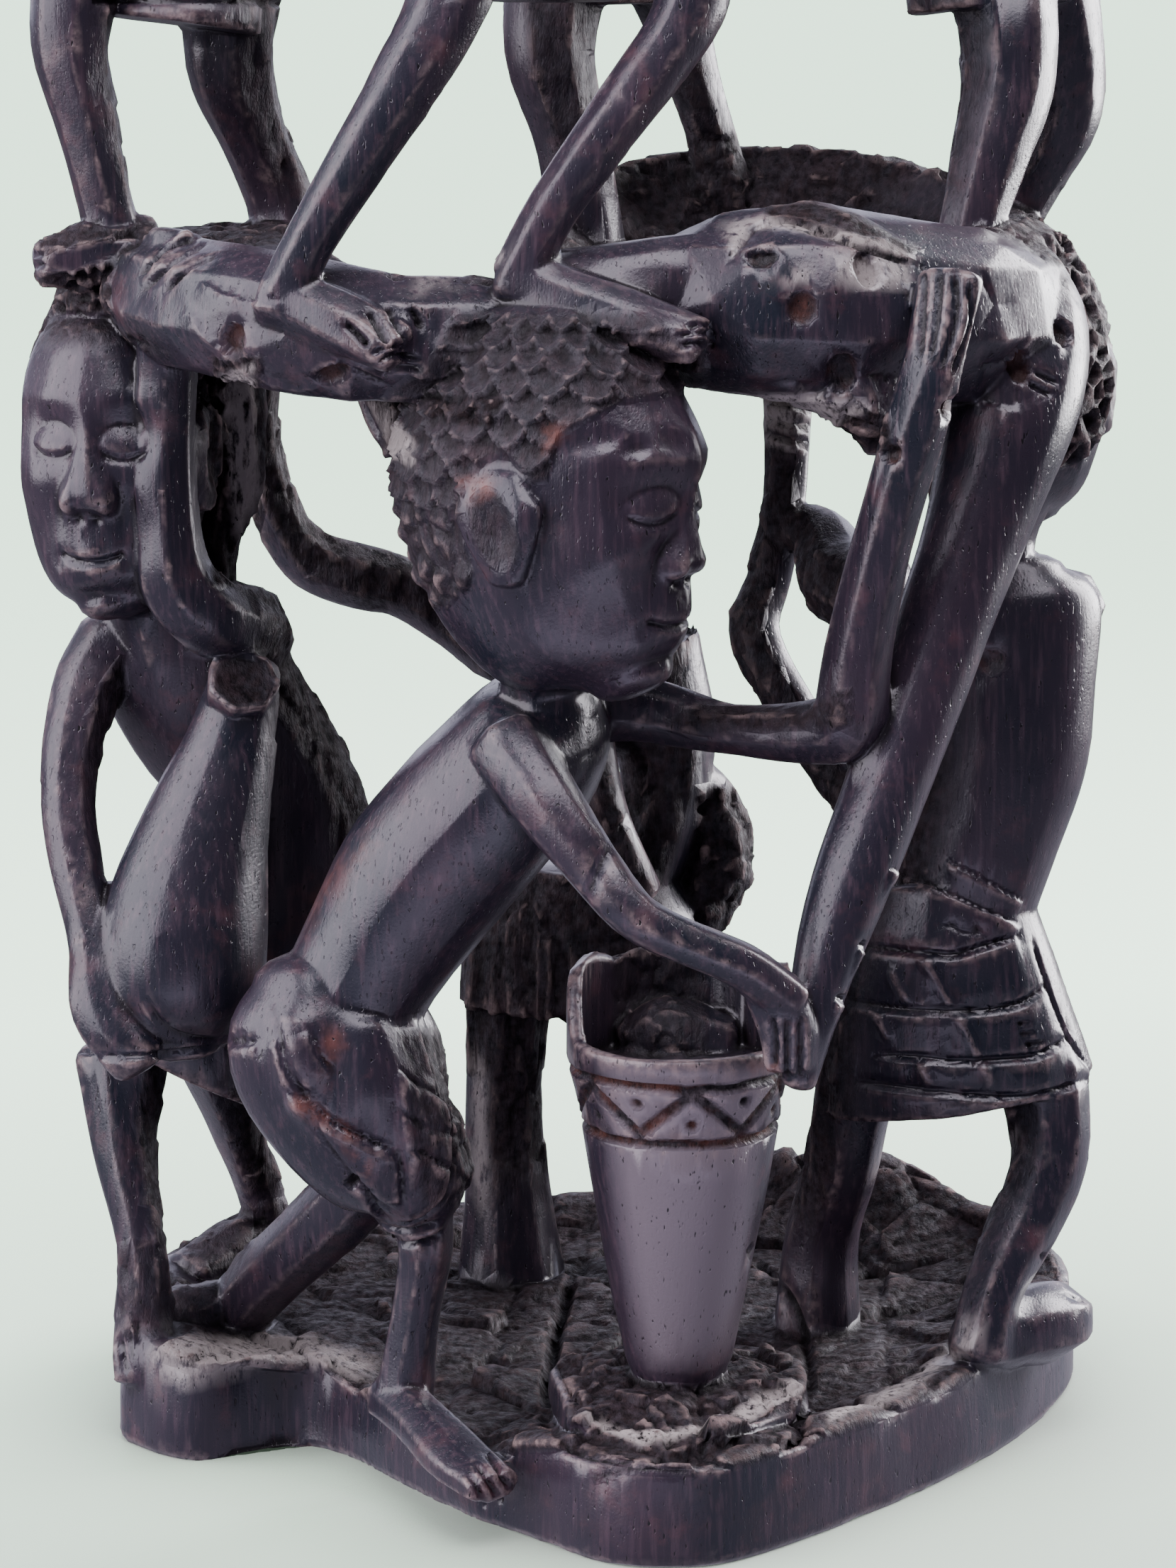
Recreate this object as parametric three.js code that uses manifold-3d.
import * as THREE from "three";
import { mergeVertices } from "three/addons/utils/BufferGeometryUtils.js";
import Module from "manifold-3d";

// A two-tier family carving cut from one log, in millimetres, with +Z up and the drummer's side at -Y.
// Four figures stand on a low base and hold up a thick ring, and four plainer figures stand on that ring.
// Every limb, body and head is a three.js sphere whose rings are moved onto a line of stations.
// A station is [x, y, z, half width, half depth], and one number for both makes a round section.

// Driving dimensions
const baseWide = 131; // width of the base along X
const baseDeep = 114; // depth of the base along Y
const ringTop = 158; // height of the ring's rim, where the upper figures stand
const ringDeep = 13; // thickness of the ring's rim
const dishDeep = 4; // how far the ring's middle is sunk below its rim
const upperTall = 150; // height of the upper figures, sole to crown
const drumRim = 14; // radius of the drum at its rim
const drumFoot = 6.9; // radius of the drum at its foot
const drumTop = 61; // height of the drum's rim
const drumLip = 3.4; // height of the plain lip around the drum's rim
const drumWall = 1.8; // thickness of the drum's lip around its skin
const drumSkin = 4; // depth of the skin below the lip

// The stations below are drawn for a base 131 by 114, a lower tier 158 high and upper figures 150 tall.
// These two functions carry them over to the dimensions above.
const wider = baseWide / 131;
const deeper = baseDeep / 114;
const lowerTaller = ringTop / 158;
const upperTaller = upperTall / 150;
const lower = (list) => list.map(([x, y, z, ...halves]) => [
  x * wider, y * deeper, z * lowerTaller, ...halves,
]);
const upper = (list) => list.map(([x, y, z, ...halves]) => [
  x * wider, y * deeper, ringTop + (z - 158) * upperTaller, ...halves,
]);

const wasm = await Module();
wasm.setup();

// Turns a closed three.js geometry into a solid, facing out.
function solidOf(geometry) {
  const plain = geometry.clone();
  plain.deleteAttribute("normal");
  plain.deleteAttribute("uv");
  const merged = mergeVertices(plain, 1e-4);
  const triVerts = new Uint32Array(merged.index.array);
  const vertProperties = merged.attributes.position.array;
  const made = new wasm.Manifold(new wasm.Mesh({ numProp: 3, vertProperties, triVerts }));
  if (made.volume() > 0) return made;
  for (let i = 0; i < triVerts.length; i += 3) {
    [triVerts[i + 1], triVerts[i + 2]] = [triVerts[i + 2], triVerts[i + 1]];
  }
  return new wasm.Manifold(new wasm.Mesh({ numProp: 3, vertProperties, triVerts }));
}

// A limb or body: a sphere whose rings are moved onto the stations. Its ends are rounded, or flat.
function limb(stations, { sides = 7, across = [1, 0, 0], flat = false } = {}) {
  const rows = stations.map(([x, y, z, wide, deep = wide]) => (
    { at: new THREE.Vector3(x, y, z), wide, deep }
  ));
  const count = rows.length;
  const ball = new THREE.SphereGeometry(1, sides, count + 1);
  const position = ball.attributes.position;
  const side = new THREE.Vector3(...across);
  rows.forEach((row, i) => {
    row.along = rows[Math.min(i + 1, count - 1)].at.clone().sub(rows[Math.max(i - 1, 0)].at).normalize();
    side.addScaledVector(row.along, -side.dot(row.along)).normalize();
    row.side = side.clone();
    row.third = row.along.clone().cross(side);
  });
  const bulge = flat ? 0 : 0.5;
  for (let ring = 0; ring <= count + 1; ring++) {
    const row = rows[Math.min(Math.max(ring - 1, 0), count - 1)];
    const centre = row.at.clone();
    const pole = ring === 0 || ring === count + 1;
    if (pole) centre.addScaledVector(row.along, (ring ? 1 : -1) * bulge * Math.min(row.wide, row.deep));
    for (let column = 0; column <= sides; column++) {
      const turn = ((column % sides) / sides) * 2 * Math.PI;
      const at = centre.clone();
      if (!pole) at.addScaledVector(row.side, Math.cos(turn) * row.wide);
      if (!pole) at.addScaledVector(row.third, Math.sin(turn) * row.deep);
      position.setXYZ(ring * (sides + 1) + column, at.x, at.y, at.z);
    }
  }
  return solidOf(ball);
}

// A slab from an outline: a three.js lathe whose rings are the outline, scaled and set at a height.
// The outline is a closed line of [x, y, lift], and lift raises the slab's top edge there.
function slab(outline, middle, rings, segments) {
  const points = outline.map(([x, y, lift]) => new THREE.Vector3(x * wider, y * deeper, lift));
  const edge = new THREE.CatmullRomCurve3(points, true, "centripetal").getSpacedPoints(segments);
  const lathe = new THREE.LatheGeometry(rings.map((r) => new THREE.Vector2(r.share, r.height)), segments);
  const position = lathe.attributes.position;
  for (let i = 0; i <= segments; i++) {
    const at = edge[i % segments];
    rings.forEach((ring, j) => {
      const x = middle[0] + (at.x - middle[0]) * ring.share;
      const y = middle[1] + (at.y - middle[1]) * ring.share;
      position.setXYZ(i * rings.length + j, x, y, ring.height + at.z * ring.lift);
    });
  }
  return solidOf(lathe);
}

const wood = [];
const carve = (list, options) => wood.push(limb(lower(list), options));
const carveUpper = (list, options) => wood.push(limb(upper(list), options));

// The base, dished inside, with a raised seat under the drum
const baseEdge = [
  [-62.5, -10, 6], [-60, -17, 5], [-52, -23, 3], [-45, -19, 3], [-38, -16.5, 2], [-31, -22, 0],
  [-23, -33, -3],
  [-15.5, -43, -3], [-9, -49, 1], [1, -59, 4], [10, -61.5, 4], [19, -58.5, 3], [34.5, -44, 3], [51, -24, 3],
  [63, -2.5, 5], [67.5, 14, 5], [66, 26, 6], [58, 38, 8], [42, 49, 13], [20, 54, 8], [-6, 54, 4],
  [-30, 49, 4],
  [-50, 36, 5], [-62, 16, 6],
];
wood.push(slab(baseEdge, [2, 0], [
  { share: 0, height: 0, lift: 0 },
  { share: 0.97, height: 0, lift: 0 },
  { share: 1, height: 1.5, lift: 0 },
  { share: 0.98, height: 9.5, lift: 1 },
  { share: 0.89, height: 10, lift: 0.8 },
  { share: 0.72, height: 9, lift: 0.3 },
  { share: 0, height: 10, lift: 0 },
], 32));
carve([
  [15, -16, 9, 9, 5], [12, -28, 11.5, 14.5, 6], [11, -40, 11.5, 15.5, 6.4], [11, -50, 9.5, 13, 6],
], { sides: 8 });

// The ring: a dished slab at the right and back, and a thinner one at the front left
wood.push(slab([
  [-10, -42, -1], [4, -44, 1], [14, -42, 2], [28, -41, 4], [44, -32, 2], [57, -16, 1], [61, 4, 2],
  [58, 26, 4], [44, 42, 8], [24, 48, 9], [8, 46, 8], [-4, 36, 5], [-9, 20, 2], [-13, 0, -6], [-16, -22, -9],
], [18, 0], [
  { share: 0, height: ringTop - ringDeep + 1, lift: 0 },
  { share: 0.7, height: ringTop - ringDeep + 1, lift: 0 },
  { share: 0.9, height: ringTop - ringDeep, lift: 0.5 },
  { share: 1, height: ringTop - ringDeep * 0.55, lift: 0.8 },
  { share: 0.96, height: ringTop - 1.5, lift: 1 },
  { share: 0.84, height: ringTop, lift: 1 },
  { share: 0.7, height: ringTop - dishDeep, lift: 0.2 },
  { share: 0, height: ringTop - dishDeep, lift: 0 },
], 22));
wood.push(slab([
  [-61, -10, 0], [-53, -26, 0], [-42, -38, -2], [-28, -46, -6], [-12, -46, -8], [-4, -36, -7],
  [-10, -22, -10], [-24, -12, -9], [-34, 2, -2], [-40, 14, 1], [-52, 14, 1],
], [-34, -20], [
  { share: 0, height: ringTop - ringDeep, lift: 0 },
  { share: 0.8, height: ringTop - ringDeep - 1, lift: 0 },
  { share: 1, height: ringTop - ringDeep * 0.6, lift: 0.6 },
  { share: 0.92, height: ringTop - 1, lift: 1 },
  { share: 0, height: ringTop - 1, lift: 0 },
], 15));
// The two spotted lengths along its front, the bend at the right and the tail down to the drum
carve([
  [-58, -6, 152, 6], [-49, -24, 150.5, 8], [-36, -36, 149, 8.4], [-23, -40, 147.5, 7.6], [-9, -38, 148, 6.4],
], { across: [0, 0, 1] });
carve([
  [9, -31, 151, 7], [16, -34, 151, 10.6], [26, -34, 151, 12], [36, -31, 150, 11.4], [46, -25, 149, 10.6],
  [52, -16, 149, 9.6],
], { sides: 10, across: [0, 0, 1] });
carve([
  [49, -10, 152, 9], [53, -17, 147, 9.4], [52.5, -23, 138, 8.6], [48.5, -28, 125, 6.6], [44.5, -31.5, 114, 6],
  [40.5, -35, 103, 5.5], [36, -39, 91, 5.2], [31.5, -43.5, 80, 4.8], [28, -47, 69, 3.6],
  [25.6, -49.5, 58, 2.2],
]);
carve([[27, -35, 145, 6], [33, -37, 141, 5], [35.5, -38, 134.5, 2.4]], { sides: 6 });

// The drummer, bent over the drum at the front
carve([
  [-31, -31, 61, 9, 11], [-27.5, -32, 69, 9.4, 11], [-20, -33, 81, 10.8, 12], [-10.5, -35, 92.5, 10.4, 12.5],
  [-5, -36, 100, 8.6, 11.5], [-3, -37, 104, 5, 7],
], { sides: 8, across: [0.8, 0, -0.6] });
carve([[-5, -37, 98, 6], [-5.5, -39, 107, 5.4], [-6, -41, 114, 7]]);
const drummerFace = { sides: 10, across: [0.88, -0.48, 0] };
carve([
  [5.5, -46, 107.5, 5.5, 5], [3.5, -45, 111.5, 11.5, 9], [-1, -43, 118, 17, 12.4],
  [-4, -41.5, 127, 19.8, 13.8],
  [-4.5, -41, 136, 19.6, 13.8], [-4.5, -41, 143, 16, 12], [-4.5, -41, 149, 10, 8],
], drummerFace);
carve([[12.4, -50, 132, 1.8], [14.2, -52, 125.4, 2.4], [11.4, -50, 122, 2.6]], { sides: 5 });
carve([[10.6, -50, 115.5, 2.6, 3.4], [9, -48.5, 111.5, 2.4, 3]], { sides: 5 });
carve([
  [-10.5, -54.5, 130, 3, 1.6], [-11.4, -55, 124.5, 4.6, 2.2], [-10.6, -53.5, 118.5, 2.6, 1.6],
], { sides: 6 });
// Its near arm, to the drum
carve([
  [-9.5, -44, 98.5, 5], [-5, -50, 92.5, 4.2], [1.5, -54, 84.5, 3.2], [6, -56, 79.8, 2.9],
  [12, -55.4, 76.6, 2.8],
  [19, -54, 73.2, 3], [24, -51.5, 68.5, 4.2, 2.6],
], { across: [0, 0, 1] });
wood.push(limb([
  [22 * wider, -52 * deeper, drumTop + 9.5, 4, 2.6], [25 * wider, -51 * deeper, drumTop + 3, 4, 2.4],
  [26 * wider, -50 * deeper, drumTop - 2, 3.2, 2],
], { across: [0, 0, 1] }));
// Its far arm, raised to the ring
carve([
  [-4, -30, 101, 5.5], [6, -29, 100.5, 4.2], [18, -33, 98.6, 3.2], [28, -37.5, 99, 3.6], [32, -39.6, 101, 4],
  [32.8, -41, 110, 3.6], [35.4, -43, 123, 2.9], [38.8, -45, 136, 3.1], [41, -46.5, 146, 4.2, 2.6],
  [43, -44, 155, 4, 2.4],
], { across: [0, 0, 1] });
// Its trousers, shins and feet
carve([
  [-34, -34, 67, 8], [-33.2, -35, 60, 12.4, 10.4], [-28, -36, 50, 11.4, 9.6], [-22.6, -35.5, 42.5, 8.6, 7.6],
  [-21.8, -34.6, 37, 5],
], { sides: 9 });
carve([[-21.2, -34.5, 38, 4], [-20.6, -34, 32, 3.5], [-22, -33.5, 23, 3.1], [-23.4, -33, 13, 3.7]]);
carve([
  [-25, -31.5, 12, 3.6, 3.4], [-20.5, -40, 11, 3.6, 3], [-15, -49, 9, 4.4, 2.4],
  [-11.5, -54.5, 8.2, 3.8, 2],
]);
carve([[-31, -25, 62, 9], [-26, -22, 52, 8.2], [-24.5, -19, 42, 6.4]]);
carve([[-23, -19, 43, 5.4], [-32, -12, 31.5, 5], [-42, -4, 20, 4.7], [-48, 1, 12, 4.4]]);
carve([[-46, 2, 13, 4], [-54, -2, 14, 4.6, 3.4], [-60, -5, 13, 4.4, 3]], { sides: 6, across: [0, 1, 0] });

// The drum, with its far wall left high behind the skin and a lump on it
const drumX = 11.4 * wider;
const drumY = -37.5 * deeper;
const seat = 10 * lowerTaller;
const drumAt = (share) => seat + (drumTop - seat) * share;
const drum = new THREE.LatheGeometry([
  new THREE.Vector2(0, seat), new THREE.Vector2(drumFoot, seat), new THREE.Vector2(drumFoot, drumAt(0.16)),
  new THREE.Vector2(drumFoot + (drumRim - drumFoot) * 0.42, drumAt(0.5)),
  new THREE.Vector2(drumFoot + (drumRim - drumFoot) * 0.86, drumAt(0.86)),
  new THREE.Vector2(drumRim, drumTop - drumLip), new THREE.Vector2(drumRim, drumTop),
  new THREE.Vector2(0, drumTop),
], 14).rotateX(Math.PI / 2).translate(drumX, drumY, 0);
const skin = new THREE.CylinderGeometry(drumRim - drumWall, drumRim - drumWall - 0.8, drumSkin * 2, 14)
  .rotateX(Math.PI / 2).translate(drumX, drumY, drumTop);
// The far wall's stations are x and y as shares of the rim's radius, height over the rim, and half width.
const farWall = [
  [-0.8, -0.02, -4, 2.2], [-0.8, 0.42, 1.5, 3], [-0.36, 0.84, 3.6, 3.2], [0.3, 0.86, 3.4, 3],
  [0.76, 0.5, 0, 3], [0.86, 0.06, -4, 2],
].map(([x, y, z, half]) => [drumX + x * drumRim, drumY + y * drumRim, drumTop + z, half]);
wood.push(solidOf(drum).subtract(solidOf(skin)));
wood.push(limb(farWall, { sides: 6, across: [0, 0, 1] }));
wood.push(limb([[drumX, drumY + 6, drumTop - drumSkin - 2, 4.6], [drumX, drumY + 6.4, drumTop + 1, 3]]));

// The figure at the left, holding a long gourd
carve([
  [-53.5, -4, 109, 9, 6], [-53, -4, 105.5, 12, 7.6], [-49, -2, 96, 12.2, 8], [-42.5, 1, 86, 11.4, 8.4],
  [-40, 3, 76, 11.4, 8.8],
  [-45, 3, 64, 11.4, 9], [-52, 2, 55, 13, 10.4], [-56, 1, 48, 14, 11],
], { sides: 8, flat: true });
carve([[-55, -6, 104, 5.6], [-57.5, -8, 116, 5.4]]);
carve([
  [-60, -14, 112, 5, 5], [-60.5, -13, 116, 9, 8.6], [-60.5, -10, 124, 11.4, 11.8], [-60.5, -9, 132, 12, 12.8],
  [-60.5, -8, 140, 11.2, 12], [-60, -7, 147, 8.6, 9.6], [-60, -8, 153, 6.5, 8],
], { sides: 9 });
carve([[-62.6, -20.5, 132, 1.6], [-63.4, -22.6, 126.5, 2.2], [-63, -20.5, 123.5, 2.6]], { sides: 5 });
carve([[-62.4, -20, 119, 3.4, 2], [-62, -18.5, 115.5, 3, 2]], { sides: 5 });
carve([
  [-48, 3, 148, 4.6], [-46.6, 3, 138, 3.8], [-46, 2, 126, 3.4], [-47, 0, 114, 4], [-48, -1, 106, 4.6],
], { sides: 6 });
// Its hanging arm and the hand under the gourd
carve([
  [-61.5, -5, 105, 5], [-65, -9, 99, 4.4], [-66.8, -14, 88, 3.6], [-65.4, -18, 78, 3.3],
  [-63.2, -22, 69, 3.2],
  [-61.5, -26, 61, 4, 2.6], [-57, -28, 55, 3.4, 2.6],
]);
// Its raised arm
carve([
  [-43.5, -3, 105, 5.2], [-44.5, -10, 108.5, 5], [-48.5, -16, 110.5, 5], [-52.4, -18, 116, 4.8],
  [-53, -18.5, 125, 3.4],
  [-52.8, -19, 135, 3.1], [-52.4, -20.5, 145, 3.6], [-52.2, -24, 152, 4.8, 3], [-51, -22, 158, 4.4, 2.6],
]);
carve([
  [-43.6, -13.5, 103, 4.2], [-46, -15.5, 93, 6], [-49.5, -17.5, 81, 8.8], [-51.8, -19, 70, 10.8],
  [-52.6, -19, 62, 10.6],
  [-52.6, -19, 57, 7.4],
], { sides: 9 });
carve([[-62, -3, 49, 6], [-61.4, -7, 38, 4.3], [-58.8, -11, 26, 3.3], [-59, -12, 16, 3.8]]);
carve([[-58.6, -10, 18, 3.6], [-58.6, -14, 14, 4, 3.2], [-58.8, -16.4, 9, 4, 2]], { sides: 6 });
carve([[-51, 10, 49, 6], [-48.6, 17, 35, 3.7], [-45.6, 23, 22, 3.2], [-45, 24, 12, 4]]);
carve([
  [-43.5, 25.5, 17, 3.4], [-49, 20, 17, 3.8, 3.2], [-55, 14, 14.5, 4, 2.6],
], { sides: 6, across: [0, 1, 0] });

// The figure at the back, in a grass skirt
carve([
  [3, 27, 101, 9, 6], [4, 27.5, 97, 12.5, 7.4], [10.4, 29, 86, 7.4, 7], [9, 28, 74, 6, 6.4],
  [3, 27, 64, 8, 8],
]);
carve([[0, 27, 69, 12, 9], [-0.5, 27, 62, 16, 11], [-0.5, 27, 50, 17.5, 12]], { sides: 8, flat: true });
carve([[2, 27, 98, 5], [0, 26, 112, 5]], { sides: 6 });
carve([
  [-2, 30, 111, 6, 6], [-2, 28, 117, 10, 10], [-2, 26, 126, 12, 13], [-2, 25, 136, 11.4, 12.6],
  [-2, 25, 144, 9, 10],
  [-1, 24, 150, 7, 8],
]);
carve([
  [-4, 27, 98, 4.8], [-12.6, 28, 98, 3.4], [-18.5, 29, 102.4, 3.4], [-25.5, 29.5, 107.4, 4],
  [-32, 29, 109.2, 4.4], [-38, 28.5, 111.6, 4.2], [-42, 27, 117, 3.6], [-44.6, 25, 125, 3.6],
  [-45.8, 21, 137, 4.2], [-45, 15, 149, 5],
], { across: [0, 0, 1] });
carve([[0, 20, 88, 3.4], [2.5, 17, 78, 3], [7, 18, 67, 3]], { sides: 6 });
carve([[12, 30, 83, 3], [16.4, 31, 77, 4.6], [18, 31, 68, 5.2], [13, 30, 60, 5]]);
carve([[-11, 27, 54, 6], [-12, 27, 36, 5.3], [-11.6, 27, 22, 6], [-11, 27, 10, 7.5]]);
carve([[9, 31, 54, 6], [12, 34, 36, 5.2], [13, 36, 22, 4.8], [13, 36, 9, 6]]);
carve([[13, 34, 12, 4.4], [13, 42, 12, 4.6, 3], [12, 48, 11, 4, 2.2]], { sides: 6 });

// The figure at the right, seen from its back
carve([
  [54.4, -3, 114, 7.5, 5.6], [54.6, -3, 110.5, 11.8, 7.6], [54.6, -3, 101, 11.6, 8.6], [54, -3, 90, 11.2, 9],
  [51.6, -3, 80, 10.4, 9], [48.6, -3, 69, 9.6, 9],
], { sides: 8 });
carve([
  [46.8, -3, 72.5, 11.2, 9], [46.8, -4, 64, 14, 10.4], [47.6, -4, 54, 16.4, 11.6], [49, -4, 45, 18, 12],
], { sides: 10, flat: true });
carve([[53, -3, 110, 5.6], [53.4, -3, 119, 4.6], [56, -2, 128, 6]]);
carve([
  [57, 3, 122.5, 5, 5], [57.4, 2, 127, 8, 8.6], [57, 0, 134, 10, 11.4], [56.6, -1, 142, 10.4, 12],
  [56.4, -1, 149, 8.8, 10.4],
  [56, 0, 155, 6, 7],
], { sides: 9 });
carve([[65.4, -1, 137, 1.6, 2.4], [66.6, -1, 133, 1.8, 3], [65, -1, 128.5, 1.4, 2]], { sides: 5 });
carve([
  [40, 6, 80, 4.4], [33.5, 13, 84.5, 3.4], [27.5, 17, 93.5, 3.1], [22.6, 19, 102.6, 3.4],
  [24.6, 21, 110, 3.1],
  [26.6, 22, 120, 3], [27, 22, 131, 3.2], [27, 22, 146, 4.2],
]);
carve([
  [25.5, 22, 117, 2.8], [31, 18, 116.5, 3.8], [33.5, 12, 111.5, 5.6], [38, 6, 110, 6],
], { across: [0, 0, 1] });
carve([[62.6, 0, 109.5, 5], [60, 11, 104, 4.2], [53, 18, 109, 3.8], [49, 20, 124, 3.6], [47, 20, 148, 4.8]]);
carve([[36, -2, 48, 5.6], [34, 1, 34, 5], [31.6, 4, 22, 4.9], [31, 4, 9, 6]]);
carve([[60, -6, 48, 6], [60.8, -9, 38, 5], [57.8, -12, 30, 4.6], [53, -17, 22, 3.9], [51, -19.6, 14, 4.2]]);
carve([
  [50, -18.5, 15, 3.8], [56, -14.5, 15.4, 4.4, 4.4], [61, -9.6, 15, 4.6, 3.8], [64, -6, 14, 3.8, 3],
], { across: [0, 1, 0] });

// A plainer figure on the ring. Levels are shares of its height, and lean moves the crown over.
function upperFigure({ x, y, tall, lean, face, hem, legs, arms }) {
  const level = (share, reach = 0) => [
    x + lean[0] * share + face[0] * reach, y + lean[1] * share + face[1] * reach, 158 + tall * share,
  ];
  const across = [face[1], -face[0], 0];
  carveUpper([
    [...level(hem), 13, 10.5], [...level(0.34), 12, 9.6], [...level(0.44), 9, 7.4],
    [...level(0.56), 9.6, 7.4],
    [...level(0.67), 11.6, 7.4], [...level(0.72), 9.4, 6.4],
  ], { sides: 7, across, flat: true });
  carveUpper([[...level(0.7), 5], [...level(0.81), 5]], { sides: 6 });
  carveUpper([
    [...level(0.775, 4), 4.4, 4.6], [...level(0.8, 2.5), 8, 8.6], [...level(0.86, 1), 10, 11.6],
    [...level(0.92), 10.2, 11.8], [...level(0.97), 8, 9.2],
  ], { sides: 7, across });
  legs.forEach((leg) => carveUpper(leg, { sides: 6, across }));
  arms.forEach((arm) => carveUpper(arm, { sides: 5, across: [0, 0, 1] }));
}

// At the left
upperFigure({
  x: -56, y: -6, tall: 139, lean: [18, 6], face: [-0.8, -0.6], hem: 0.19,
  legs: [
    [
      [-63, -14, 192, 5.4], [-64.4, -14.5, 182, 4.8], [-62.6, -14, 172, 3.9], [-60.2, -13.6, 161, 3.4],
      [-59, -13, 153, 4],
    ],
    [[-56, -12, 156, 4.6], [-62, -14.5, 156, 5, 4], [-68, -16, 155, 4, 2.8]],
    [[-45, 2, 192, 6.4], [-46, 3, 179, 5.6], [-43, 6, 169, 4.4], [-40, 8, 161, 4.4], [-39, 8, 153, 5]],
  ],
  arms: [
    [
      [-47, -14, 252, 4.2], [-46, -24, 242, 3.6], [-36, -30, 238, 3.4], [-24, -30, 250, 3.2],
      [-17, -26, 258, 3.6],
    ],
    [[-42, 8, 252, 4.2], [-34, 20, 249, 3.6], [-24, 27, 254, 3.4], [-10, 28, 262, 3.8]],
  ],
});
// At the front
upperFigure({
  x: -8, y: -32, tall: 150, lean: [4, 14], face: [0.3, -0.95], hem: 0.2,
  legs: [
    [
      [-14, -36, 194, 5.6], [-18, -40, 184, 4.5], [-25, -43, 172, 3.8], [-32.5, -44.5, 160, 3.1],
      [-36, -44.5, 153, 3.2],
    ],
    [[-37.6, -43.5, 153, 3.2, 3.4], [-30, -46, 150.4, 4, 3.4], [-22.5, -48.5, 147, 4.4, 2.6]],
    [
      [13, -34, 194, 5.4], [11.5, -37, 185, 4.2], [4.5, -40, 175, 3.7], [-4, -42, 163, 3.1],
      [-8.4, -42.5, 155, 3.2],
    ],
    [[-9.4, -42, 154.8, 3.2, 3.4], [2, -45, 151.4, 3.8, 3.2], [13, -48, 148, 3.4, 2.2]],
  ],
  arms: [
    [[-14, -20, 265, 4.4], [-26, -18, 254, 3.8], [-36, -12, 252, 3.6], [-42, -2, 254, 3.8]],
    [[8, -20, 265, 4.4], [20, -20, 256, 3.8], [32, -14, 255, 3.6], [40, -6, 258, 3.8]],
  ],
});
// At the right
upperFigure({
  x: 54, y: 0, tall: 142, lean: [-14, 4], face: [0.95, -0.3], hem: 0.2,
  legs: [
    [[52, -5, 192, 6.8], [53, -7, 178, 6], [50.5, -10, 168, 4.8], [47.8, -12.5, 158, 4], [47, -13, 152, 4.6]],
    [[46.5, -13, 155, 4, 3.6], [52, -19, 150, 4.2, 3.4], [57, -24, 143, 3.8, 2.6]],
    [[58, 8, 192, 7], [62, 12, 175, 5.4], [58, 15, 164, 4.6], [53, 17, 155, 4.8]],
  ],
  arms: [
    [[44, -12, 254, 4.2], [48, -24, 244, 3.8], [38, -32, 240, 3.4], [24, -30, 252, 3.2], [12, -24, 262, 3.8]],
    [[42, 12, 256, 4.2], [34, 22, 254, 3.6], [22, 28, 260, 3.4], [12, 27, 264, 3.8]],
  ],
});
// At the back
upperFigure({
  x: 5, y: 31, tall: 145, lean: [-4, -6], face: [0.2, 0.98], hem: 0.2,
  legs: [
    [[-4, 26, 192, 7], [-5, 23, 180, 6], [-2, 24, 168, 4.8], [0, 25, 152, 5.4]],
    [[10, 32, 192, 6], [13.5, 35, 179, 3.8], [17, 38.5, 168, 3.4], [19, 40, 158, 4.6]],
  ],
  arms: [],
});

// Everything joined as one piece of wood
const whole = wood.reduce((sum, body) => sum.add(body)).simplify(0.15);
const largest = whole.decompose().sort((a, b) => b.volume() - a.volume())[0];
const made = largest.getMesh();
const geometry = new THREE.BufferGeometry();
geometry.setAttribute("position", new THREE.Float32BufferAttribute(made.vertProperties, 3));
geometry.setIndex(new THREE.Uint32BufferAttribute(made.triVerts, 1));

// The origin goes to the middle of the carving, on its underside.
geometry.computeBoundingBox();
const middle = geometry.boundingBox.getCenter(new THREE.Vector3());
geometry.translate(-middle.x, -middle.y, -geometry.boundingBox.min.z);
geometry.computeVertexNormals();

const blackwood = new THREE.MeshStandardMaterial({ color: 0x241c20, roughness: 0.45 });
const carving = new THREE.Mesh(geometry, blackwood);
carving.name = "carving";

const group = new THREE.Group();
group.add(carving);
export default group;
